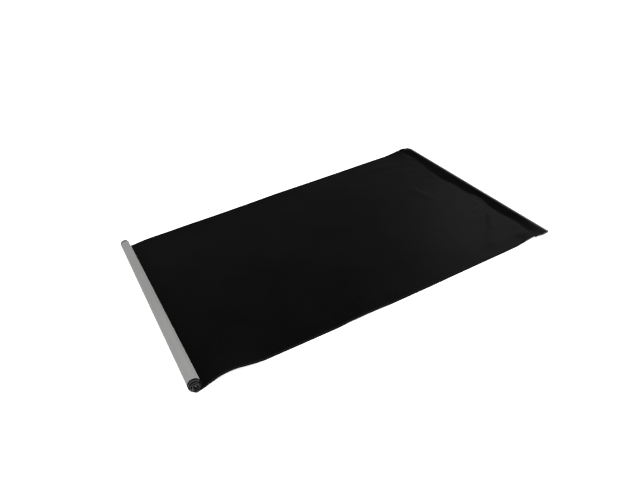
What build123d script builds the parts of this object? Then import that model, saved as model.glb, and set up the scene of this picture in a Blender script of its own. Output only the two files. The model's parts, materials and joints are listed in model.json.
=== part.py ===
from build123d import *
import math
import os

# Soft roll-up tonneau cover, lying on a flat surface and partly rolled up from its tail end.
# A coated sheet, black above and grey below, has a stiff bar in a pocket at each end.
# Millimetres. +X runs from the rolled-up tail end towards the header bar at the cab end,
# +Z is up, and the origin is midway between the two bars on the surface that it lies on.
# The right side is -Y and the left side is +Y, as seen from the tail looking towards the cab.

# Sheet
width = 1430.0            # across the sheet, binding included
bar_spacing = 2080.0      # from the roll's axis to the header bar's axis
sheet_thickness = 1.2
binding_width = 14.0
body_gap = 0.5            # between stretches of sheet that move apart

# Roll: two turns, wound tighter at the left, each turn set off to the right of the one outside it
turn_count = 2
roll_radius_right = 36.5
roll_radius_left = 29.5
turn_pitch_right = 8.2
turn_pitch_left = 5.0
turn_offset = 8.0
turn_thickness = 1.0
turn_binding_thickness = 1.8

# Stretch of sheet that feeds into the roll, and stretch that is sewn round the header bar
lead_start = 13.0
lead_end = 60.0
pocket_tail = 70.0

# Header bar, shorter than its pocket and lying a little to the right in it
header_pocket_length = 1400.0
header_bar_length = 1335.0
header_offset = -7.5
header_radius = 11.0
header_wall = 1.4
header_pocket_gap = 0.3
header_pocket_thickness = 1.5
header_tube_length = 1325.0
header_spigot_length = 30.0
bush_radius = 6.0
bush_bore_radius = 4.1
bush_length = 24.0
header_cross_pin_depth = 30.0

# Tail bar, with a sprung latch pin in each end
tail_radius = 15.0
tail_wall = 1.8
tail_pocket_gap = 0.4
tail_pocket_thickness = 1.6
tail_tube_length = 1420.0
tail_offset = -17.0       # the bar sits to the right of the outer turn's middle
tail_head_length = 22.0
tail_spigot_length = 40.0
spigot_clearance = 0.1
cross_pin_radius = 1.5

latch_nose_radius = 4.0
latch_nose_reach = 8.0
latch_body_radius = 6.05
latch_body_length = 14.0
latch_groove_depth = 0.4
latch_groove_width = 1.0
latch_chamfer = 0.5
latch_travel = 7.0
latch_clearance = 0.05
plug_front_wall = 4.0
knob_radius = 2.8
knob_stem_radius = 2.0
knob_height = 3.5
knob_rounding = 0.8
knob_depth = 6.8          # from the plug's front face
slot_clearance = 0.15
spring_length = 32.0
spring_turns = 9
spring_coil_radius = 4.9
spring_wire_radius = 0.6
washer_thickness = 1.0
washer_radius = 5.9
washer_hole_radius = 1.7
fit_gap = 0.2             # keeps the spring's ends clear of what they push on

half_width = width / 2
roll_x = -bar_spacing / 2
header_x = bar_spacing / 2
pocket_start = header_x - pocket_tail
header_pocket_inner = header_radius + header_pocket_gap
header_pocket_outer = header_pocket_inner + header_pocket_thickness
tail_pocket_inner = tail_radius + tail_pocket_gap
tail_pocket_outer = tail_pocket_inner + tail_pocket_thickness
latch_bore_radius = latch_body_radius + latch_clearance
spring_start = plug_front_wall + latch_clearance + latch_body_length + fit_gap + spring_wire_radius
spring_end = spring_start + spring_length + spring_wire_radius + fit_gap
tail_cross_pin_depth = spring_end + washer_thickness + cross_pin_radius

# The roll is a slim cone that rests along its whole length, so its axis dips a little to the left.
roll_dip = math.degrees(math.atan((roll_radius_right - roll_radius_left) / width))
roll_axis_height = (roll_radius_right + roll_radius_left) / 2 / math.cos(math.radians(roll_dip))
roll_place = Location((roll_x, 0, roll_axis_height), (-roll_dip, 0, 0))
header_place = Location((header_x, 0, header_pocket_outer))

nodes = {}


def along_y(solid, y_start, y_end):
    """Turn a solid made about +Z onto +Y, and centre it between two stations."""
    return Pos(0, (y_start + y_end) / 2, 0) * Rot(X=-90) * solid


def rod(radius, y_start, y_end):
    return along_y(Cylinder(radius, y_end - y_start), y_start, y_end)


def tube(outer, inner, y_start, y_end):
    return rod(outer, y_start, y_end) - rod(inner, y_start, y_end)


def slab(x_start, x_end, y_start, y_end):
    """A flat stretch of sheet on the ground."""
    middle = Pos((x_start + x_end) / 2, (y_start + y_end) / 2, sheet_thickness / 2)
    return middle * Box(x_end - x_start, y_end - y_start, sheet_thickness)


def strip_pair(name, x_start, x_end):
    """A flat stretch of the edge binding, along each side of the sheet."""
    inner = half_width - binding_width
    nodes[name + "_right"] = slab(x_start, x_end, -half_width, -inner)
    nodes[name + "_left"] = slab(x_start, x_end, inner, half_width)


def mirror_y(solid):
    return mirror(solid, about=Plane.XZ)


def flat_sheet():
    """The sheet between the roll and the header bar, and the short stretch that feeds the roll."""
    inner = half_width - binding_width
    start = roll_x + lead_end + body_gap
    nodes["cover_sheet"] = slab(start, pocket_start, -inner, inner)
    strip_pair("side_binding", start, pocket_start)
    nodes["lead_sheet"] = slab(roll_x + lead_start, roll_x + lead_end, -inner, inner)
    strip_pair("lead_binding", roll_x + lead_start, roll_x + lead_end)


def turn_radius(turn, y):
    """Outer radius of a turn, counted from 0 at the outside, at a distance y along the roll."""
    right = roll_radius_right - turn * turn_pitch_right
    left = roll_radius_left - turn * turn_pitch_left
    return right + (left - right) * (y + half_width) / width


def turn_shell(turn, y_start, y_end, thickness):
    """A stretch of one turn of the roll, as a slim conical shell."""
    right = turn_radius(turn, y_start)
    left = turn_radius(turn, y_end)
    length = y_end - y_start
    shell = Cone(right, left, length) - Cone(right - thickness, left - thickness, length)
    offset = -turn * turn_offset
    return along_y(shell, y_start + offset, y_end + offset)


def rolled_turns():
    inner = half_width - binding_width
    spans = {
        "rolled_sheet": (-inner, inner, turn_thickness),
        "roll_binding_right": (-half_width, -inner, turn_binding_thickness),
        "roll_binding_left": (inner, half_width, turn_binding_thickness),
    }
    for name, span in spans.items():
        turns = [turn_shell(turn, *span) for turn in range(turn_count)]
        nodes[name] = roll_place * Compound(children=turns)


def header_bar():
    """Aluminium tube in a sewn pocket, with a nylon plug and a steel bush in each end."""
    half_pocket = header_pocket_length / 2
    loop = header_place * tube(header_pocket_outer, header_pocket_inner, -half_pocket, half_pocket)
    tail = slab(pocket_start, header_x, -half_pocket, half_pocket)
    bar_space = header_place * rod(header_pocket_inner, -half_pocket, half_pocket)
    nodes["header_pocket"] = loop + (tail - bar_space)

    half_bar = header_bar_length / 2
    half_tube = header_tube_length / 2
    place = header_place * Pos(0, header_offset, 0)
    pin = Pos(0, half_bar - header_cross_pin_depth, 0) * Cylinder(cross_pin_radius, 2 * header_radius)
    bar = tube(header_radius, header_radius - header_wall, -half_tube, half_tube)
    nodes["header_bar"] = place * (bar - pin - mirror_y(pin))
    nodes["header_cross_pins"] = place * Compound(children=[pin, mirror_y(pin)])

    spigot_radius = header_radius - header_wall - spigot_clearance
    plug = rod(header_radius, half_tube, half_bar)
    plug += rod(spigot_radius, half_tube - header_spigot_length, half_tube)
    plug -= rod(bush_radius, half_bar - bush_length, half_bar)
    plug -= pin
    bush = tube(bush_radius, bush_bore_radius, half_bar - bush_length, half_bar)
    for name, solid in {"header_plug": plug, "header_bush": bush}.items():
        nodes[name + "_left"] = place * solid
        nodes[name + "_right"] = place * mirror_y(solid)


def tail_plug(front, pin):
    """Nylon plug: a head flush with the tube, a spigot inside it, and a stepped bore for the latch."""
    spigot_radius = tail_radius - tail_wall - spigot_clearance
    spigot_start = front - tail_head_length - tail_spigot_length
    plug = rod(tail_radius, front - tail_head_length, front)
    plug += rod(spigot_radius, spigot_start, front - tail_head_length)
    plug -= rod(latch_bore_radius, spigot_start, front - plug_front_wall)
    plug -= rod(latch_nose_radius + latch_clearance, front - plug_front_wall, front)
    slot_half = knob_stem_radius + slot_clearance
    slot = SlotCenterToCenter(latch_travel, 2 * slot_half, rotation=90)
    slot = extrude(slot, tail_radius + knob_height)
    return plug - Pos(0, front - knob_depth - latch_travel / 2, 0) * slot - pin


def latch_pin(front):
    """Steel pin: a wide body in the plug's bore and a nose that stands out of the plug."""
    body_start = front - plug_front_wall - latch_clearance - latch_body_length
    body_end = body_start + latch_body_length
    nose = rod(latch_nose_radius, body_end, front + latch_nose_reach)
    tip = nose.edges().filter_by(GeomType.CIRCLE).sort_by(Axis.Y)[-1]
    nose = chamfer(tip, latch_chamfer)
    groove = tube(
        latch_nose_radius + 1,
        latch_nose_radius - latch_groove_depth,
        front,
        front + latch_groove_width,
    )
    stem_hole = Pos(0, front - knob_depth, latch_body_radius) * Cylinder(
        knob_stem_radius, 2 * latch_body_radius
    )
    return rod(latch_body_radius, body_start, body_end) + (nose - groove) - stem_hole


def latch_knob(front):
    """Small button on a stem that screws into the latch pin through the plug's slot."""
    top = tail_radius + fit_gap + knob_height
    button = Pos(0, 0, top - knob_height / 2) * Cylinder(knob_radius, knob_height)
    rim = button.edges().filter_by(GeomType.CIRCLE).sort_by(Axis.Z)[-1]
    button = fillet(rim, knob_rounding)
    stem = Pos(0, 0, (top - knob_height) / 2) * Cylinder(knob_stem_radius, top - knob_height)
    return Pos(0, front - knob_depth, 0) * (button + stem)


def coil_spring(front):
    path = Helix(spring_length / spring_turns, spring_length, spring_coil_radius)
    wire = Plane(origin=path @ 0, z_dir=path % 0) * Circle(spring_wire_radius)
    spring = sweep(wire, path=path, is_frenet=True)
    return Pos(0, front - spring_start, 0) * Rot(X=90) * spring


def tail_bar():
    """Aluminium tube in a sewn pocket at the middle of the roll, with a sprung latch in each end."""
    half_tube = tail_tube_length / 2
    front = half_tube + tail_head_length
    place = roll_place * Pos(0, tail_offset, 0)
    pocket = tube(tail_pocket_outer, tail_pocket_inner, -half_width, half_width)
    nodes["tail_pocket"] = place * pocket

    pin = Pos(0, front - tail_cross_pin_depth, 0) * Cylinder(cross_pin_radius, 2 * tail_radius)
    bar = tube(tail_radius, tail_radius - tail_wall, -half_tube, half_tube)
    nodes["tail_bar"] = place * (bar - pin - mirror_y(pin))
    nodes["tail_cross_pins"] = place * Compound(children=[pin, mirror_y(pin)])

    washer_y = front - spring_end
    pieces = {
        "tail_plug": tail_plug(front, pin),
        "latch_pin": latch_pin(front),
        "latch_knob": latch_knob(front),
        "latch_spring": coil_spring(front),
        "spring_washer": tube(washer_radius, washer_hole_radius, washer_y - washer_thickness, washer_y),
    }
    for name, solid in pieces.items():
        nodes[name + "_left"] = place * solid
        nodes[name + "_right"] = place * mirror_y(solid)


flat_sheet()
rolled_turns()
header_bar()
tail_bar()

os.makedirs("parts", exist_ok=True)
for name, solid in nodes.items():
    export_step(solid, "parts/" + name + ".step")
print(len(nodes), "nodes")
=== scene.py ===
"""Looks for the roll-up tonneau cover: cloth built as thin two-faced sheets around the CAD frame."""
import json
import math

import bpy
import numpy as np
from mathutils import Matrix, Vector


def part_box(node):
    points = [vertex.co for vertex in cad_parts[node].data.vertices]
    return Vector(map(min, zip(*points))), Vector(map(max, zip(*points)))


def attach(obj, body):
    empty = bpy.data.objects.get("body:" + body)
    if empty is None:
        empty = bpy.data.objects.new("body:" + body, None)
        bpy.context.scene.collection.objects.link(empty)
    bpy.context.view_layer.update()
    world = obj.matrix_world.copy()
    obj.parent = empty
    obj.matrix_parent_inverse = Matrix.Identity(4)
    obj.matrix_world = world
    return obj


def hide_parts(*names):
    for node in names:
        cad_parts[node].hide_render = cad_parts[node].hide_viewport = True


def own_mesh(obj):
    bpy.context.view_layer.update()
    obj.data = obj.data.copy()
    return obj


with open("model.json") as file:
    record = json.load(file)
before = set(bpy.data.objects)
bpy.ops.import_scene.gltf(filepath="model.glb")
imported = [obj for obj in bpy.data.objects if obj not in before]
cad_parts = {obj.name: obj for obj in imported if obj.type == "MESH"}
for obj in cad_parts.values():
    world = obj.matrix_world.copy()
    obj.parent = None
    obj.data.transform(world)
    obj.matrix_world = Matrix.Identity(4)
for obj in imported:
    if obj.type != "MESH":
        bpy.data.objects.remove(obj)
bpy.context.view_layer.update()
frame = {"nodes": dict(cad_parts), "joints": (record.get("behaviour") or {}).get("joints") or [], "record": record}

MM = 0.001
nodes = frame["nodes"]
joints = {joint["name"]: joint for joint in frame["joints"]}

# Places and sizes read from the frame, in metres
binding_low, binding_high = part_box("side_binding_left")
header_low, header_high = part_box("header_bar")
tail_low, tail_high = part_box("tail_pocket")
half_width = binding_high.y
half_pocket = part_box("header_pocket")[1].y
binding_width = binding_high.y - binding_low.y
roll_middle = Vector(joints["roll_spin"]["pos_m"])
roll_axis = Vector(joints["roll_spin"]["axis"])
roll_x = roll_middle.x
lead_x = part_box("lead_sheet")[1].x         # where the feeding stretch ends and the flat sheet begins
seam_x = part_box("cover_sheet")[1].x        # where the header pocket begins
header_x = (header_low.x + header_high.x) / 2
header_z = (header_low.z + header_high.z) / 2
header_radius = (header_high.z - header_low.z) / 2

# Cloth
cloth_thickness = 1.0 * MM
binding_thickness = 2.0 * MM
binding_overhang = 0.3 * MM                # how far the binding's fold stands out past the CAD's edge
cloth_margin = 1 * MM                      # how far the cloth stays inside it
resting_height = binding_thickness / 2     # the cloth's middle, where the binding lies on the ground
flat_step = 8 * MM                         # spacing of the flat grids along the cover
lead_step = 4 * MM
sheet_columns = 190
binding_columns = 5

# Thread
thread_radius = 0.4 * MM
thread_sides = 5
stitch_pitch = 4.5 * MM
stitch_share = 0.72                        # a stitch's length in pitches
stitch_shape = ((0.0, 0.25), (0.15, 0.85), (0.5, 1.0), (0.85, 0.85), (1.0, 0.25))
stitch_inset = binding_width * 0.62

# Roll
turn_count = 2.25
turn_offset = 8 * MM                       # each turn is set off to the right of the one outside it
outer_radius_right = 36.5 * MM
outer_radius_left = 29.5 * MM
inner_radius = 18.0 * MM
steps_per_turn = 56
roll_columns = 120
rolled_binding_thickness = 2.4 * MM
tail_loop_radius = 16.2 * MM
tail_loop_thickness = 1.6 * MM

# Latch springs
spring_wire = 0.6 * MM
spring_turns = 9
spring_steps = 36                          # to a turn
wire_sides = 10

# How far the sheet's edges lift, and how far they draw in, at distances from the roll's axis
right_edge_lift = (
    np.array([0.03, 0.05, 0.09, 0.11, 0.13, 0.17, 0.21, 0.25, 0.29, 0.34, 0.74, 0.80, 0.90, 0.98, 1.05,
              1.80, 1.87, 1.93, 1.97, 2.01]),
    np.array([0, 2, 11, 17, 20.5, 24, 21.5, 14, 7, 0, 0, 6, 7.5, 5, 0, 0, 2, 4, 11, 15]) * MM)
left_edge_lift = (
    np.array([0.05, 0.16, 0.37, 0.58, 0.81, 1.05, 1.29, 1.54, 1.90, 1.935, 1.97, 1.99, 2.01]),
    np.array([0, 3, 6, 4.5, 4, 6.5, 1.7, 0.5, 1, 4, 9, 13, 16.5]) * MM)
right_edge_inset = (
    np.array([0, 0.03, 0.06, 0.9, 1.1, 1.3, 1.5, 1.87, 1.94, 2.01]),
    np.array([-11, -6, 0, 0, 3, 6, 11, 17, 24, 24]) * MM)
left_edge_inset = (np.array([0, 1.3, 1.55, 1.94, 2.01]), np.array([0, 0, 1, 7, 12]) * MM)
right_lift_reach = 0.13                    # how far into the sheet each edge's lift is felt
left_lift_reach = 0.06
hump_height = 4 * MM                       # of the whole width, just past the roll
swell_height = 0.7 * MM
crease_height = 1.1 * MM
crease_reach = 0.16                        # from the seam

# Where the cloth starts to rise to the header bar: distance from the seam, across the cover
slope_foot = (
    np.array([-0.70, -0.62, -0.596, -0.55, -0.50, -0.41, -0.35, -0.27, -0.18, -0.11, -0.06, 0.03,
              0.09, 0.15, 0.24, 0.34, 0.46, 0.57, 0.65, 0.70]),
    np.array([-9, -4, 0, 12, 23, 13, 6, 14, 38, 32, 9, 17, 12, 1, 0, 4, 22, 34, 12, 0]) * MM)


# Soft folds near the header bar: two ends of the crest as distance from the roll's axis and place across,
# the crest's height, and its reach towards the tail and towards the header
soft_folds = (
    ((1.960, -0.375), (1.890, -0.480), 3.9 * MM, 0.022, 0.055),
    ((1.890, -0.480), (1.780, -0.590), 3.4 * MM, 0.026, 0.060),
    ((1.792, 0.174), (1.818, 0.022), 2.0 * MM, 0.045, 0.014),
)
fold_end = 0.045

# The header pocket's lower side is sewn under its upper side, in a doubled strip before the seam
hem_width = 11 * MM
strip_x = seam_x - hem_width
doubled_lift = 0.7 * MM
hem_gap = 1.08 * MM       # between the middles of the two layers

# The header pocket's loop. Past the bar's ends it sags at the left mouth and opens at the right one.
loop_clearance = 0.3 * MM
loop_slack = 1.12         # the loop stands a little clear of the bar's top
loop_start = 116          # degrees up from +X, where the slope meets the loop
brink_share = 0.52        # the same place, in radii before the bar's axis
brink_angle = 120
left_squeeze = 0.5        # how far the loop flattens at the left mouth
right_opening = 0.75      # how far its lower side lifts at the right mouth
mouth_reach = 5 * MM      # how far inside the bar's ends the loop starts to change
sag_outline = ((0.02, 0.0205), (0.04, 0.0185))  # left mouth: distance from the seam, height
nose_distance = 0.064
mouth_hem = 1.4 * MM      # extra thickness of the folded hem at each mouth
pocket_stations = 420


# ---------------------------------------------------------------- helpers

def smooth_step(low, high, value):
    share = np.clip((value - low) / (high - low), 0, 1)
    return share * share * (3 - 2 * share)


def ripples(a, b, seed, count, shortest, longest):
    """Smooth uneven waves over two coordinates, about -1 to 1: a sum of seeded plane waves."""
    random = np.random.default_rng(seed)
    total = np.zeros(np.broadcast(a, b).shape)
    for _ in range(count):
        wavelength = random.uniform(shortest, longest)
        heading = random.uniform(0, math.pi)
        phase = random.uniform(0, 2 * math.pi)
        along = a * math.cos(heading) + b * math.sin(heading)
        total = total + np.sin(2 * math.pi * along / wavelength + phase)
    return total / math.sqrt(count)


def add_piece(name, mesh):
    piece = bpy.data.objects.new(name, mesh)
    bpy.context.scene.collection.objects.link(piece)
    return piece


def normals_of(middle):
    """Unit normals of a grid of points, along rows cross columns."""
    along = np.gradient(middle, axis=0)
    across = np.gradient(middle, axis=1)
    normal = np.cross(along, across)
    return normal / np.linalg.norm(normal, axis=2, keepdims=True)


def running_length(middle, axis):
    """Length so far along one axis of a grid of points, averaged over the other."""
    steps = np.linalg.norm(np.diff(middle, axis=axis), axis=2).mean(axis=1 - axis)
    return np.concatenate([[0.0], np.cumsum(steps)])


def cloth(name, middle, thickness, upper, under, edge):
    """A closed thin sheet around a grid of middle points. Its upper side is along rows cross columns.

    The first and last columns take the edge material, and the first and last rows the upper one.
    """
    rows, columns = middle.shape[:2]
    offset = normals_of(middle) * thickness / 2
    verts = np.concatenate([(middle + offset).reshape(-1, 3), (middle - offset).reshape(-1, 3)])
    count = rows * columns
    index = np.arange(count).reshape(rows, columns)
    quads = np.stack([index[:-1, :-1], index[1:, :-1], index[1:, 1:], index[:-1, 1:]], axis=2)
    quads = quads.reshape(-1, 4)
    faces = [quads, quads[:, ::-1] + count]
    for rim in (index[:, 0], index[-1, :], index[::-1, -1], index[0, ::-1]):
        faces.append(np.stack([rim[:-1], rim[:-1] + count, rim[1:] + count, rim[1:]], axis=1))
    mesh = bpy.data.meshes.new(name)
    mesh.from_pydata(verts.tolist(), [], np.concatenate(faces).tolist())
    for material in (upper, under, edge):
        mesh.materials.append(material)
    row_rim, column_rim = rows - 1, columns - 1
    counts = (len(quads), len(quads), row_rim, column_rim, row_rim, column_rim)
    slots = np.repeat(np.array([0, 1, 2, 0, 2, 0], np.int32), counts)
    mesh.polygons.foreach_set("material_index", slots)
    lengths = np.stack(np.meshgrid(
        running_length(middle, 0), running_length(middle, 1), indexing="ij"), axis=2).reshape(-1, 2)
    loop_verts = np.zeros(len(mesh.loops), np.int32)
    mesh.loops.foreach_get("vertex_index", loop_verts)
    layer = mesh.uv_layers.new(name="cloth")
    layer.data.foreach_set("uv", lengths[loop_verts % count].ravel())
    mesh.shade_smooth()
    mesh.set_sharp_from_angle(angle=math.radians(50))
    return add_piece(name, mesh)


def stitches(name, points, normals, lift, material):
    """A row of short thread stitches along a line of points, standing a little out of the cloth."""
    length_so_far = np.concatenate([[0.0], np.cumsum(np.linalg.norm(np.diff(points, axis=0), axis=1))])
    verts = []
    faces = []

    def at(where, values):
        return np.array([np.interp(where, length_so_far, values[:, k]) for k in range(3)])

    for start in np.arange(stitch_pitch, length_so_far[-1] - stitch_pitch, stitch_pitch):
        a = at(start, points)
        b = at(start + stitch_share * stitch_pitch, points)
        normal = at(start, normals)
        along = (b - a) / np.linalg.norm(b - a)
        side = np.cross(along, normal)
        base = len(verts)
        for share, size in stitch_shape:
            centre = a + (b - a) * share + normal * (lift - thread_radius * (1 - size))
            for k in range(thread_sides):
                angle = 2 * math.pi * k / thread_sides
                spoke = side * math.cos(angle) + normal * math.sin(angle)
                verts.append(centre + spoke * thread_radius * size)
        for ring in range(len(stitch_shape) - 1):
            low = base + ring * thread_sides
            high = low + thread_sides
            for k in range(thread_sides):
                ahead = (k + 1) % thread_sides
                faces.append([low + k, low + ahead, high + ahead, high + k])
        last = base + (len(stitch_shape) - 1) * thread_sides
        faces.append([base + k for k in reversed(range(thread_sides))])
        faces.append([last + k for k in range(thread_sides)])
    mesh = bpy.data.meshes.new(name)
    mesh.from_pydata([tuple(v) for v in verts], [], faces)
    mesh.materials.append(material)
    mesh.shade_smooth()
    return add_piece(name, mesh)


# ---------------------------------------------------------------- materials

class Nodes:
    """Short way to build one material's node tree."""

    def __init__(self, name):
        self.material = bpy.data.materials.new(name)
        self.material.use_nodes = True
        self.tree = self.material.node_tree
        self.shader = self.tree.nodes["Principled BSDF"]

    def add(self, kind, **inputs):
        node = self.tree.nodes.new(kind)
        for key, value in inputs.items():
            node.inputs[key.replace("_", " ")].default_value = value
        return node

    def link(self, source, target):
        self.tree.links.new(source, target)

    def coordinates(self, kind, stretch=(1, 1, 1)):
        source = self.add("ShaderNodeTexCoord")
        mapping = self.add("ShaderNodeMapping")
        mapping.inputs["Scale"].default_value = stretch
        self.link(source.outputs[kind], mapping.inputs["Vector"])
        return mapping.outputs["Vector"]

    def noise(self, vector, scale, detail=3.0):
        node = self.add("ShaderNodeTexNoise", Scale=scale, Detail=detail)
        self.link(vector, node.inputs["Vector"])
        return node.outputs["Fac"]

    def bands(self, vector, period, direction):
        """Even bands across one axis: a wave texture has one band per 0.314 units at scale 1."""
        node = self.add("ShaderNodeTexWave", Scale=0.31416 / period, Distortion=0.35, Detail=1.0)
        node.inputs["Detail Scale"].default_value = 2.0
        node.bands_direction = direction
        self.link(vector, node.inputs["Vector"])
        return node.outputs["Fac"]

    def maths(self, operation, first, second):
        node = self.tree.nodes.new("ShaderNodeMath")
        node.operation = operation
        for socket, value in zip(node.inputs, (first, second)):
            if isinstance(value, (int, float)):
                socket.default_value = value
            else:
                self.link(value, socket)
        return node.outputs[0]

    def ramp(self, factor, low, high, low_colour, high_colour):
        node = self.tree.nodes.new("ShaderNodeValToRGB")
        node.color_ramp.elements[0].position = low
        node.color_ramp.elements[0].color = (*low_colour, 1)
        node.color_ramp.elements[1].position = high
        node.color_ramp.elements[1].color = (*high_colour, 1)
        self.link(factor, node.inputs["Fac"])
        return node.outputs["Color"]

    def spread(self, factor, low, high):
        node = self.tree.nodes.new("ShaderNodeMapRange")
        node.inputs["To Min"].default_value = low
        node.inputs["To Max"].default_value = high
        self.link(factor, node.inputs["Value"])
        return node.outputs["Result"]

    def axis_of(self, vector, axis):
        node = self.add("ShaderNodeSeparateXYZ")
        self.link(vector, node.inputs["Vector"])
        return node.outputs[axis]

    def blend(self, factor, first, second):
        """The first colour where the factor is 0, the second where it is 1."""
        node = self.tree.nodes.new("ShaderNodeMix")
        node.data_type = "RGBA"
        self.link(factor, node.inputs["Factor"])
        colours = [socket for socket in node.inputs if socket.type == "RGBA"]
        self.link(first, colours[0])
        self.link(second, colours[1])
        return next(socket for socket in node.outputs if socket.type == "RGBA")

    def between(self, value, low, high):
        """0 at low, 1 at high, and held beyond them."""
        node = self.tree.nodes.new("ShaderNodeMapRange")
        node.inputs["From Min"].default_value = low
        node.inputs["From Max"].default_value = high
        self.link(value, node.inputs["Value"])
        return node.outputs["Result"]

    def bump(self, height, distance, strength=1.0, below=None):
        node = self.add("ShaderNodeBump", Strength=strength, Distance=distance)
        self.link(height, node.inputs["Height"])
        if below is not None:
            self.link(below, node.inputs["Normal"])
        return node.outputs["Normal"]

    def finish(self, colour, roughness, normal, **settings):
        self.link(colour, self.shader.inputs["Base Color"])
        self.link(roughness, self.shader.inputs["Roughness"])
        self.link(normal, self.shader.inputs["Normal"])
        for key, value in settings.items():
            self.shader.inputs[key.replace("_", " ")].default_value = value
        return self.material


def coated_face(name, painted_highlight):
    """Black vinyl coating with a fine pressed grain over the weave, a little scuffed and dusty.

    Along the top of the header bar it carries a painted highlight of the given grey, standing in for light caught
    on the bar's crest.
    """
    m = Nodes(name)
    place = m.coordinates("Object")
    grain = m.add("ShaderNodeTexVoronoi", Scale=750.0)
    grain.feature = "SMOOTH_F1"
    m.link(place, grain.inputs["Vector"])
    flat = m.coordinates("UV")
    weave = m.maths("MULTIPLY", m.bands(flat, 1.6 * MM, "X"), m.bands(flat, 1.6 * MM, "Y"))
    patches = m.noise(place, 3.5, 5.0)
    scuffs = m.noise(m.coordinates("Object", (1, 0.25, 1)), 55.0, 6.0)
    mottle = m.maths("ADD", m.maths("MULTIPLY", patches, 0.7), m.maths("MULTIPLY", scuffs, 0.3))
    plain_black = m.ramp(mottle, 0.35, 0.65, (0.0006, 0.0006, 0.0006), (0.0011, 0.0011, 0.0011))
    spots = m.noise(place, 160.0, 4.0)
    # painted highlight: a speckled grey band along the top of the header bar, where light catches the crest
    highlight_speckle = m.ramp(spots, 0.35, 0.65, (painted_highlight * 0.7,) * 3, (painted_highlight * 1.3,) * 3)
    crest = m.between(m.axis_of(place, "X"), header_x - 7 * MM, header_x - 1 * MM)
    above = m.between(m.axis_of(place, "Z"), header_z, header_z + 6 * MM)
    colour = m.blend(m.maths("MULTIPLY", crest, above), plain_black, highlight_speckle)
    roughness = m.spread(mottle, 0.34, 0.46)
    soft = m.bump(m.noise(place, 22.0, 2.0), 0.9 * MM, 0.5)
    woven = m.bump(weave, 0.10 * MM, 0.5, soft)
    normal = m.bump(grain.outputs["Distance"], 0.12 * MM, 0.6, woven)
    return m.finish(
        colour, roughness, normal, Specular_IOR_Level=0.009, Sheen_Weight=0.006, Sheen_Roughness=0.12)


def woven_backing():
    """Matte grey woven polyester: the sheet's underside, which the roll shows outside."""
    m = Nodes("woven_backing")
    flat = m.coordinates("UV")
    warp = m.bands(flat, 1.3 * MM, "X")
    weft = m.bands(flat, 1.3 * MM, "Y")
    weave = m.maths("MAXIMUM", warp, weft)
    fibres = m.noise(m.coordinates("UV", (1, 0.2, 1)), 900.0, 4.0)
    patches = m.noise(m.coordinates("Object"), 4.0, 4.0)
    tone = m.maths("ADD", m.maths("MULTIPLY", patches, 0.55), m.maths("MULTIPLY", fibres, 0.45))
    colour = m.ramp(tone, 0.3, 0.7, (0.115, 0.115, 0.113), (0.138, 0.138, 0.135))
    roughness = m.spread(fibres, 0.82, 0.98)
    normal = m.bump(fibres, 0.08 * MM, 0.4, m.bump(weave, 0.16 * MM, 0.6))
    return m.finish(
        colour, roughness, normal, Specular_IOR_Level=0.10, Sheen_Weight=0.22, Sheen_Roughness=0.30)


def binding_tape():
    """Black ribbed webbing tape, folded over the sheet's edge."""
    m = Nodes("binding_tape")
    flat = m.coordinates("UV")
    ribs = m.bands(flat, 1.1 * MM, "X")
    cords = m.bands(flat, 2.2 * MM, "Y")
    weave = m.maths("MULTIPLY", ribs, m.spread(cords, 0.6, 1.0))
    fibres = m.noise(m.coordinates("UV", (0.3, 1, 1)), 700.0, 4.0)
    colour = m.ramp(fibres, 0.3, 0.7, (0.002, 0.002, 0.002), (0.005, 0.005, 0.005))
    roughness = m.spread(fibres, 0.7, 0.9)
    normal = m.bump(weave, 0.25 * MM, 0.8)
    return m.finish(colour, roughness, normal, Specular_IOR_Level=0.02)


def sewing_thread():
    """Black twisted polyester thread."""
    m = Nodes("sewing_thread")
    place = m.coordinates("Object")
    twist = m.bands(place, 0.6 * MM, "DIAGONAL")
    colour = m.ramp(m.noise(place, 400.0), 0.3, 0.7, (0.003, 0.003, 0.003), (0.007, 0.007, 0.007))
    roughness = m.spread(twist, 0.55, 0.75)
    return m.finish(colour, roughness, m.bump(twist, 0.1 * MM, 0.6), Specular_IOR_Level=0.05)


def drawn_metal(name, dark, light, low, high, stretch):
    """Bare metal with fine lines along the direction in which it was drawn or turned."""
    m = Nodes(name)
    lines = m.noise(m.coordinates("Object", stretch), 450.0, 5.0)
    stains = m.noise(m.coordinates("Object"), 14.0, 4.0)
    tone = m.maths("ADD", m.maths("MULTIPLY", lines, 0.5), m.maths("MULTIPLY", stains, 0.5))
    colour = m.ramp(tone, 0.3, 0.7, (dark,) * 3, (light,) * 3)
    roughness = m.spread(lines, low, high)
    return m.finish(colour, roughness, m.bump(lines, 0.03 * MM, 0.4), Metallic=1.0)


def moulded_plastic(name, dark, light, gloss):
    """Spark-eroded moulded plastic, with a trace of scuffing."""
    m = Nodes(name)
    place = m.coordinates("Object")
    texture = m.noise(place, 1400.0, 2.0)
    scuffs = m.noise(m.coordinates("Object", (1, 0.3, 1)), 90.0, 6.0)
    colour = m.ramp(scuffs, 0.35, 0.75, (dark,) * 3, (light,) * 3)
    roughness = m.spread(scuffs, 0.42, 0.6)
    return m.finish(colour, roughness, m.bump(texture, 0.05 * MM, 0.5), Specular_IOR_Level=gloss)


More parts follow.
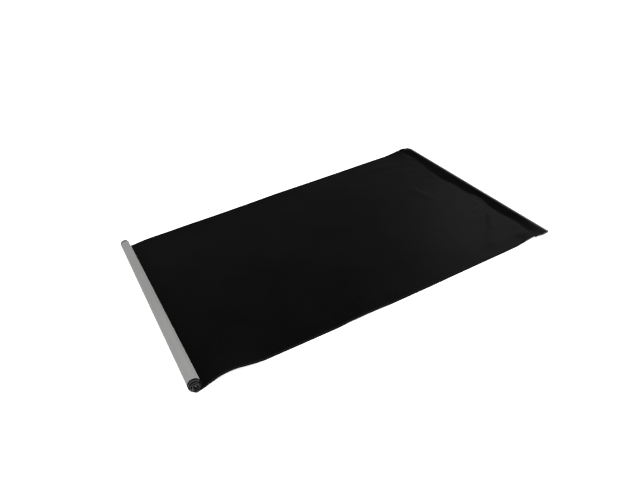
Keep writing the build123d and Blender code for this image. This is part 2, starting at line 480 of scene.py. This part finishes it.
def fold_with_painted_highlight(name, dark, light):
    """A folded edge at the roll's ends, with a painted highlight in grey on its upper side towards the tail, where
    light falls on it.
    """
    m = Nodes(name)
    place = m.coordinates("Object")
    fibres = m.noise(m.coordinates("Object", (1, 1, 0.4)), 160.0, 5.0)
    # painted highlight: the fold's upper side towards the tail is made lighter, as if lit from above
    painted_highlight = m.ramp(fibres, 0.3, 0.7, (dark,) * 3, (light,) * 3)
    plain_black = m.ramp(fibres, 0.3, 0.7, (0.001,) * 3, (0.004,) * 3)
    towards_tail = m.between(m.axis_of(place, "X"), roll_x + 24 * MM, roll_x + 6 * MM)
    upper = m.between(m.axis_of(place, "Z"), 12 * MM, 24 * MM)
    colour = m.blend(m.maths("MULTIPLY", towards_tail, upper), plain_black, painted_highlight)
    roughness = m.spread(fibres, 0.7, 0.9)
    return m.finish(colour, roughness, m.bump(fibres, 0.2 * MM, 0.7), Specular_IOR_Level=0.1)


# 0.10 is the grey of the painted highlight along the header bar's crest
face = coated_face("coated_face", 0.10)
backing = woven_backing()
tape = binding_tape()
# the dark and light greys of each fold's painted highlight
tape_fold = fold_with_painted_highlight("tape_fold", 0.020, 0.075)
loop_fold = fold_with_painted_highlight("loop_fold", 0.060, 0.160)
thread = sewing_thread()
node_materials = {
    "latch_steel": drawn_metal("latch_steel", 0.012, 0.03, 0.3, 0.45, (0.3, 1, 0.3)),
    "bar_aluminium": drawn_metal("bar_aluminium", 0.55, 0.72, 0.28, 0.42, (1, 0.02, 1)),
    "pin_steel": drawn_metal("pin_steel", 0.45, 0.62, 0.18, 0.32, (0.3, 1, 0.3)),
    "bush_steel": drawn_metal("bush_steel", 0.42, 0.56, 0.25, 0.38, (0.3, 1, 0.3)),
    "spring_steel": drawn_metal("spring_steel", 0.3, 0.42, 0.22, 0.34, (1, 1, 1)),
    "plug_nylon": moulded_plastic("plug_nylon", 0.0012, 0.0035, 0.03),
    "knob_plastic": moulded_plastic("knob_plastic", 0.03, 0.06, 0.4),
    "cover_face": face,
    "cover_backing": backing,
    "edge_binding": tape,
}


def dress_nodes():
    """Gives each CAD piece the material that its slot in the record names."""
    for entry in frame["record"]["subparts"]:
        mesh = nodes[entry["node"]].data
        mesh.materials.clear()
        mesh.materials.append(node_materials[entry["material_slot"]])


# ---------------------------------------------------------------- flat sheet

def folds_height(from_roll, y):
    """Soft folds in the lying sheet, each steeper on one side of its crest than on the other."""
    total = 0.0
    for (start_x, start_y), (end_x, end_y), height, tail_side, header_side in soft_folds:
        run_x, run_y = end_x - start_x, end_y - start_y
        length = math.hypot(run_x, run_y)
        along = ((from_roll - start_x) * run_x + (y - start_y) * run_y) / length
        aside = ((from_roll - start_x) * run_y - (y - start_y) * run_x) / length
        aside = aside * math.copysign(1, run_y)
        width = np.where(aside < 0, tail_side, header_side)
        past_ends = np.maximum(-along, 0) + np.maximum(along - length, 0)
        fold = height * np.exp(-(aside / width) ** 2 - (past_ends / fold_end) ** 2)
        total = np.maximum(total, fold)
    return total


def sheet_height(x, y):
    """Height of the lying cloth's middle. It springs up where it leaves the roll, and its edges lift."""
    from_roll = x - roll_x
    from_seam = seam_x - x
    from_right = np.maximum(y + half_width, 0)
    from_left = np.maximum(half_width - y, 0)
    right_lift = np.interp(from_roll, *right_edge_lift) * np.exp(-from_right / right_lift_reach)
    left_lift = np.interp(from_roll, *left_edge_lift) * np.exp(-from_left / left_lift_reach)
    hump = hump_height * smooth_step(0.03, 0.12, from_roll) * (1 - smooth_step(0.13, 0.34, from_roll))
    settled = smooth_step(0.03, 0.14, from_roll) * smooth_step(-0.005, 0.03, from_seam)
    swell = ripples(x * 0.55, y * 0.35, 3, 6, 0.16, 0.45) * swell_height
    creases = ripples(x * 0.25, y, 8, 5, 0.05, 0.13) * crease_height * np.exp(-from_seam / crease_reach)
    doubled = doubled_lift * (1 - smooth_step(hem_width, 3 * hem_width, from_seam))
    level = resting_height + hump + right_lift + left_lift + doubled
    return level + np.maximum(swell + creases + 0.5 * MM, 0) * settled + folds_height(from_roll, y)


def edge_line(x, y):
    """Where a line at y of the CAD's sheet really runs: the sheet narrows a little towards the header."""
    from_roll = x - roll_x
    right = np.interp(from_roll, *right_edge_inset)
    left = np.interp(from_roll, *left_edge_inset)
    share = (y + half_width) / (2 * half_width)
    return y + right * (1 - share) ** 3 - left * share ** 3


def lying_points(x, y):
    return np.stack([x, edge_line(x, y), sheet_height(x, y)], axis=-1)


def flat_grid(x_from, x_to, y_from, y_to, x_step, y_count):
    x_places = np.linspace(x_from, x_to, max(4, round((x_to - x_from) / x_step)))
    x, y = np.meshgrid(x_places, np.linspace(y_from, y_to, y_count), indexing="ij")
    return lying_points(x, y)


def shorten(piece):
    """Gives the piece its own copy of its mesh."""
    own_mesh(piece)


def lying_binding(name, x_from, x_to, side):
    """A stretch of edge binding that follows the lying sheet's edge."""
    outer = side * (half_width + binding_overhang)
    inner = side * (half_width - binding_width)
    low, high = sorted((outer, inner))
    grid = flat_grid(x_from, x_to, low, high, flat_step, binding_columns)
    return cloth(name, grid, binding_thickness, tape, tape, tape)


def lying_sheet():
    """The flat sheet and the stretch that feeds the roll, each with its binding."""
    inner = half_width - cloth_margin
    grid = flat_grid(lead_x, strip_x, -inner, inner, flat_step, sheet_columns)
    sheet = cloth("sheet_flat", grid, cloth_thickness, face, backing, backing)
    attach(sheet, "cover")
    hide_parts("cover_sheet")
    grid = flat_grid(roll_x, lead_x, -inner, inner, lead_step, sheet_columns)
    lead = cloth("sheet_lead", grid, cloth_thickness, face, backing, backing)
    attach(lead, "lead")
    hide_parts("lead_sheet")
    trims = []
    for side, word in ((-1, "right"), (1, "left")):
        flat = lying_binding("binding_" + word, lead_x, strip_x, side)
        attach(flat, "cover")
        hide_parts("side_binding_" + word)
        feed = lying_binding("lead_binding_tape_" + word, roll_x, lead_x, side)
        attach(feed, "lead")
        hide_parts("lead_binding_" + word)
        x = np.linspace(lead_x, strip_x, 600)
        y = np.full_like(x, side * (half_width - stitch_inset))
        line = lying_points(x, y)
        up = np.tile([0.0, 0.0, 1.0], (len(x), 1))
        row = stitches("binding_stitches_" + word, line, up, binding_thickness / 2, thread)
        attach(row, "cover")
        trims += [flat, row]
        shorten(flat)
        shorten(row)
    shorten(sheet)


# ---------------------------------------------------------------- roll

roll_matrix = np.array(roll_axis.to_track_quat("Y", "Z").to_matrix())


def spiral_points(turn, across):
    """Points of the rolled cloth's middle. turn counts from 0 at the ground under the roll, inwards."""
    share = (across + half_width) / (2 * half_width)
    outer = outer_radius_right + (outer_radius_left - outer_radius_right) * share - resting_height
    pitch = (outer - inner_radius) / turn_count
    angle = 2 * math.pi * turn
    radius = outer - pitch * turn
    settle = smooth_step(0.0, 0.12, turn)
    end_frill = np.exp(-(half_width - np.abs(across)) / 0.03)
    unevenness = ripples(angle * 0.03, across * 0.5, 21, 6, 0.05, 0.22) * 0.25 * MM
    frill = np.sin(3 * angle + 1.0) * 0.5 * MM * end_frill
    radius = radius - np.abs(unevenness + frill) * settle
    slide = -turn_offset * turn - 1.2 * MM * np.sin(angle * 0.83) * settle
    slide = slide + (edge_line(roll_x, across) - across) * (1 - settle)
    local = np.stack([-radius * np.sin(angle), across + slide, -radius * np.cos(angle)], axis=-1)
    return local @ roll_matrix.T + np.array(roll_middle)


def spiral_grid(y_from, y_to, columns):
    turns = np.linspace(0, turn_count, int(turn_count * steps_per_turn) + 1)
    turn, across = np.meshgrid(turns, np.linspace(y_from, y_to, columns), indexing="ij")
    return spiral_points(turn, across)


def rolled_cloth():
    """The rolled-up stretch as one spiral, with its binding and the stitches of its outer turn."""
    inner = half_width - cloth_margin
    grid = spiral_grid(inner, -inner, roll_columns)
    roll = cloth("sheet_roll", grid, cloth_thickness, face, backing, backing)
    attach(roll, "roll")
    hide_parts("rolled_sheet")
    trims = []
    for side, word in ((-1, "right"), (1, "left")):
        outer = side * (half_width + binding_overhang)
        inward = side * (half_width - binding_width)
        high, low = sorted((outer, inward), reverse=True)
        edge = cloth("roll_binding_tape_" + word, spiral_grid(high, low, binding_columns),
                     rolled_binding_thickness, tape, tape, tape_fold)
        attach(edge, "roll")
        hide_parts("roll_binding_" + word)
        outer_turn = np.linspace(0.02, 1.0, 200)
        line = spiral_points(outer_turn, np.full_like(outer_turn, side * (half_width - stitch_inset)))
        centre = np.array(roll_middle) + np.outer(line[:, 1] - roll_middle.y, np.array(roll_axis))
        out = line - centre
        out = out / np.linalg.norm(out, axis=1, keepdims=True)
        row = stitches("roll_stitches_" + word, line, out, binding_thickness / 2, thread)
        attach(row, "roll")
        trims += [edge, row]


def tail_loop():
    """The loop of the sheet's end around the tail bar."""
    middle = roll_middle + roll_axis * ((tail_low.y + tail_high.y) / 2 - roll_middle.y)
    around = np.linspace(0, 2 * math.pi, 64)
    angle, across = np.meshgrid(around, np.linspace(half_width, -half_width, 90), indexing="ij")
    wobble = 0.25 * MM * np.sin(2 * angle + across * 9)
    size = tail_loop_radius + np.abs(wobble)
    local = np.stack([size * np.sin(angle), across, -size * np.cos(angle)], axis=-1)
    grid = local @ roll_matrix.T + np.array(middle)
    loop = cloth("pocket_tail", grid, tail_loop_thickness, face, backing, loop_fold)
    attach(loop, "roll")
    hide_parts("tail_pocket")


# ---------------------------------------------------------------- latch springs


def wire(name, line, axis_points, radius, material):
    """A round wire along a line of points that winds about an axis, closed at both ends."""
    along = np.gradient(line, axis=0)
    along /= np.linalg.norm(along, axis=1, keepdims=True)
    out = line - axis_points
    out /= np.linalg.norm(out, axis=1, keepdims=True)
    beside = np.cross(along, out)
    angle = np.linspace(0, 2 * math.pi, wire_sides, endpoint=False)[None, :, None]
    rings = line[:, None] + radius * (out[:, None] * np.cos(angle) + beside[:, None] * np.sin(angle))
    index = np.arange(len(line) * wire_sides).reshape(len(line), wire_sides)
    ahead = np.roll(index, -1, axis=1)
    quads = np.stack([index[:-1], ahead[:-1], ahead[1:], index[1:]], axis=2).reshape(-1, 4)
    mesh = bpy.data.meshes.new(name)
    ends = [index[0, ::-1].tolist(), index[-1].tolist()]
    mesh.from_pydata(rings.reshape(-1, 3).tolist(), [], quads.tolist() + ends)
    mesh.materials.append(material)
    mesh.shade_smooth()
    return add_piece(name, mesh)


def latch_springs():
    """Each latch's coil spring, made anew as a wire wound between the ends of its CAD box."""
    for side, word in ((-1, "right"), (1, "left")):
        low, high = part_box("latch_spring_" + word)
        coil_radius = (high.x - low.x) / 2 - spring_wire
        share = np.linspace(0, 1, spring_turns * spring_steps + 1)
        reach = np.array((low.y + spring_wire, high.y - spring_wire)) - roll_middle.y
        centre = np.array(roll_middle) + np.outer(np.interp(share, (0, 1), reach), np.array(roll_axis))
        angle = 2 * math.pi * spring_turns * share
        spokes = np.stack([np.cos(angle), np.zeros_like(angle), np.sin(angle)], axis=1) @ roll_matrix.T
        spring = wire("coil_spring_" + word, centre + coil_radius * spokes, centre, spring_wire,
                      node_materials["spring_steel"])
        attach(spring, "roll")
        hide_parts("latch_spring_" + word)
        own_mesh(spring)


# ---------------------------------------------------------------- header pocket

def height_over(x, place):
    """Height of the lying sheet's middle at a place across, or of its edge beyond it."""
    cloth_lines = np.linspace(-half_width, half_width, 60)
    line = np.interp(place, edge_line(x, cloth_lines), cloth_lines)
    return float(sheet_height(np.array(x), line))


def pocket_profile(across):
    """Loop of cloth seen from the end: up from the seam, over the bar, round it and back below."""
    radius = header_radius + loop_clearance + cloth_thickness / 2
    left_mouth = float(smooth_step(header_high.y - mouth_reach, half_pocket, np.array(across)))
    right_mouth = float(smooth_step(-header_low.y - mouth_reach, half_pocket, np.array(-across)))
    squeeze = 1 - left_squeeze * left_mouth
    opening = 1 - right_opening * right_mouth
    centre_z = header_z - radius * (1 - squeeze)
    seam_height = height_over(seam_x, across)
    foot = np.mean([np.interp(across + shift, *slope_foot) for shift in np.linspace(-0.03, 0.03, 9)])
    brink = header_x - radius * brink_share
    top = centre_z + radius * squeeze * loop_slack * math.sin(math.radians(brink_angle))
    sag_x, sag_z = zip((0, seam_height), *sag_outline, (nose_distance, top))
    points = [(x, height_over(x, across)) for x in np.linspace(strip_x, seam_x, 5)[:-1]]
    for x in np.linspace(seam_x, brink, 30):
        share = float(smooth_step(seam_x + foot, brink + 6 * MM, np.array(x)))
        height = seam_height + (top - seam_height) * share ** 0.85
        sagged = np.interp(x - seam_x, sag_x, sag_z)
        fade = math.sin(math.pi * (x - seam_x) / (brink - seam_x))
        wave = 0.7 * MM * fade * float(ripples(np.array(across + x * 0.8), np.array(0.0), 33, 5, 0.06, 0.2))
        points.append((x, height + (sagged - height) * left_mouth + max(wave, -0.3 * MM)))
    for degrees in np.linspace(loop_start, -90, 40):
        angle = math.radians(degrees)
        rise = math.sin(angle) * squeeze * (opening if degrees < 0 else loop_slack)
        points.append((header_x + radius * math.cos(angle), centre_z + radius * rise))
    low = centre_z - radius * squeeze * opening
    for x in np.linspace(header_x - 3 * MM, strip_x, 18):
        share = float(smooth_step(-(seam_x + 40 * MM), -(seam_x + 4 * MM), np.array(-x)))
        points.append((x, low + (height_over(min(x, seam_x), across) - hem_gap - low) * share))
    return points


def header_loop():
    """The header pocket, hemmed at both mouths, with the two rows of stitches that close it."""
    stations = np.linspace(half_pocket, -half_pocket, pocket_stations)
    grid = np.array([[(x, y, z) for x, z in pocket_profile(y)] for y in stations])
    grid = np.transpose(grid, (1, 0, 2))[:, ::-1, :]
    from_mouth = half_pocket - np.abs(stations[::-1])
    hemmed = cloth_thickness + mouth_hem * (1 - smooth_step(6 * MM, 10 * MM, from_mouth))
    loop = cloth("pocket_header", grid, hemmed[None, :, None], face, backing, face)
    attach(loop, "cover")
    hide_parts("header_pocket")
    stitched = half_width - binding_width
    for number, back in enumerate((3 * MM, 8 * MM)):
        y = np.linspace(-stitched, stitched, 400)
        line = lying_points(np.full_like(y, seam_x - back), y)
        up = np.tile([0.0, 0.0, 1.0], (len(y), 1))
        row = stitches("seam_stitches_%d" % (number + 1), line, up, cloth_thickness / 2, thread)
        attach(row, "cover")


# ---------------------------------------------------------------- setting

def pale_floor():
    """White paper, lit through so that the object throws hardly any shadow on it."""
    size = 40.0
    mesh = bpy.data.meshes.new("floor")
    corners = [(-size, -size, 0), (size, -size, 0), (size, size, 0), (-size, size, 0)]
    mesh.from_pydata(corners, [], [(0, 1, 2, 3)])
    m = Nodes("floor_paper")
    fleck = m.noise(m.coordinates("Object"), 6.0, 2.0)
    colour = m.ramp(fleck, 0.2, 0.8, (0.88, 0.88, 0.88), (0.91, 0.91, 0.91))
    roughness = m.spread(fleck, 0.9, 0.95)
    paper = m.finish(colour, roughness, m.bump(fleck, 0.1 * MM, 0.1), Emission_Strength=0.4)
    mesh.materials.append(paper)
    floor = add_piece("floor", mesh)
    floor.location.z = -0.2 * MM


def soft_light(name, place, aim, width, power):
    data = bpy.data.lights.new(name, "AREA")
    data.shape = "RECTANGLE"
    data.size = width
    data.size_y = width * 0.7
    data.energy = power
    light = bpy.data.objects.new(name, data)
    light.location = place
    light.rotation_euler = (Vector(aim) - Vector(place)).to_track_quat("-Z", "Y").to_euler()
    bpy.context.scene.collection.objects.link(light)


def studio():
    world = bpy.data.worlds.new("studio")
    world.use_nodes = True
    background = world.node_tree.nodes["Background"]
    background.inputs["Color"].default_value = (1.0, 1.0, 1.0, 1.0)
    background.inputs["Strength"].default_value = 1.05
    bpy.context.scene.world = world
    bpy.context.scene.view_settings.view_transform = "Standard"
    soft_light("key", (-1.5, -1.0, 4.0), (0, 0, 0), 4.0, 220)
    soft_light("fill", (3.3, 1.9, 2.2), (0.8, -0.3, 0), 2.0, 62)
    soft_light("low_front", (-0.6, -4.2, 0.9), (-0.4, -0.7, 0), 3.0, 190)


def camera():
    """Stands off the near side, a little towards the rolled end, held slightly tilted."""
    azimuth, elevation, tilt = (math.radians(a) for a in (-22.78, 33.34, -8.14))
    distance = 3.829
    aim = Vector((-0.0185, 0.0365, 0.0))
    back = Vector((
        math.sin(azimuth) * math.cos(elevation),
        -math.cos(azimuth) * math.cos(elevation),
        math.sin(elevation),
    ))
    data = bpy.data.cameras.new("camera")
    data.lens = 36.2
    data.sensor_width = 36.0
    eye = bpy.data.objects.new("camera", data)
    level = back.to_track_quat("Z", "Y").to_matrix()
    turned = level @ Matrix.Rotation(tilt, 3, "Z")
    eye.matrix_world = Matrix.Translation(aim + back * distance) @ turned.to_4x4()
    bpy.context.scene.collection.objects.link(eye)
    bpy.context.scene.camera = eye


camera()
studio()
pale_floor()
dress_nodes()
lying_sheet()
rolled_cloth()
tail_loop()
latch_springs()
header_loop()
